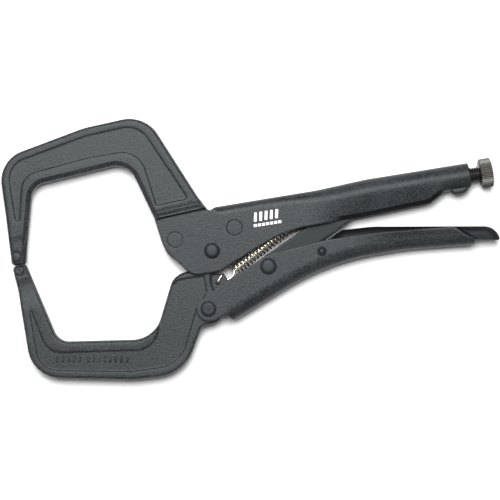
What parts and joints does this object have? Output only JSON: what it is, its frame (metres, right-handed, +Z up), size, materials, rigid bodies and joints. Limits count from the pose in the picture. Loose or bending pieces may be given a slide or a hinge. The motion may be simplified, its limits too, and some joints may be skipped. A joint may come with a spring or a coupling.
{
  "type": "locking pliers",
  "caption": "Locking pliers with two forged C-clamp jaws, folded steel handles, a toggle link, a release lever and a knurled adjusting screw.",
  "frame": {"origin": "centre of the bounding box in plan, at the surface that the pliers lie on", "axes": "+X along the adjusting screw towards its knob, +Y towards the upper jaw, +Z up, away from the surface"},
  "size_m": [0.2743, 0.1463, 0.019],
  "materials": {
    "handle_finish": "dark grey phosphate coating, satin with fine grain",
    "jaw_finish": "dark grey phosphate coating on forged steel, satin with fine grain",
    "rivet_finish": "dark grey coating, slightly smoother",
    "link_finish": "dark grey coating, dull",
    "spring_steel": "bright drawn wire",
    "screw_steel": "dark oiled steel"
  },
  "bodies": {
    "frame": {"upper_handle": "handle_finish", "upper_jaw": "jaw_finish", "front_jaw_rivet": "rivet_finish", "rear_jaw_rivet": "rivet_finish", "jaw_pivot_rivet": "rivet_finish"},
    "moving_jaw": {"lower_jaw": "jaw_finish", "return_spring": "spring_steel"},
    "lower_grip": {"lower_handle": "handle_finish", "handle_pivot_rivet": "rivet_finish", "link_pivot_rivet": "rivet_finish", "release_lever_pin": "rivet_finish"},
    "link": {"toggle_link": "link_finish"},
    "release": {"release_lever": "handle_finish"},
    "screw": {"adjusting_screw": "screw_steel"},
    "knob": {"screw_knob": "screw_steel"}
  },
  "joints": [
    {"name": "jaw_swing", "type": "hinge", "parent": "frame", "child": "moving_jaw", "pos_m": [-0.0249, -0.0074, 0.0095], "axis": [0, 0, 1], "range_deg": [0, 30], "deforming": ["return_spring"]},
    {"name": "handle_swing", "type": "hinge", "parent": "moving_jaw", "child": "lower_grip", "pos_m": [-0.032, -0.0392, 0.0095], "axis": [0, 0, 1], "range_deg": [-69, 0]},
    {"name": "link_swing", "type": "hinge", "parent": "lower_grip", "child": "link", "pos_m": [0.0048, -0.0209, 0.0095], "axis": [0, 0, 1], "range_deg": [0, 64.5]},
    {"name": "release_press", "type": "hinge", "parent": "lower_grip", "child": "release", "pos_m": [0.0356, -0.0174, 0.0095], "axis": [0, 0, 1], "range_deg": [0, 4]},
    {"name": "screw_travel", "type": "slide", "parent": "frame", "child": "screw", "axis": [1, 0, 0], "range_m": [0, 0.03]},
    {"name": "knob_turn", "type": "hinge", "parent": "screw", "child": "knob", "pos_m": [0.1335, 0.0115, 0.0095], "axis": [1, 0, 0], "range_deg": [0, 8640]}
  ],
  "couplings": [
    {"joint": "handle_swing", "follows": "jaw_swing", "ratio": -2.3},
    {"joint": "link_swing", "follows": "jaw_swing", "ratio": 2.15},
    {"joint": "knob_turn", "follows": "screw_travel", "rad_per_m": 5026.5}
  ]
}
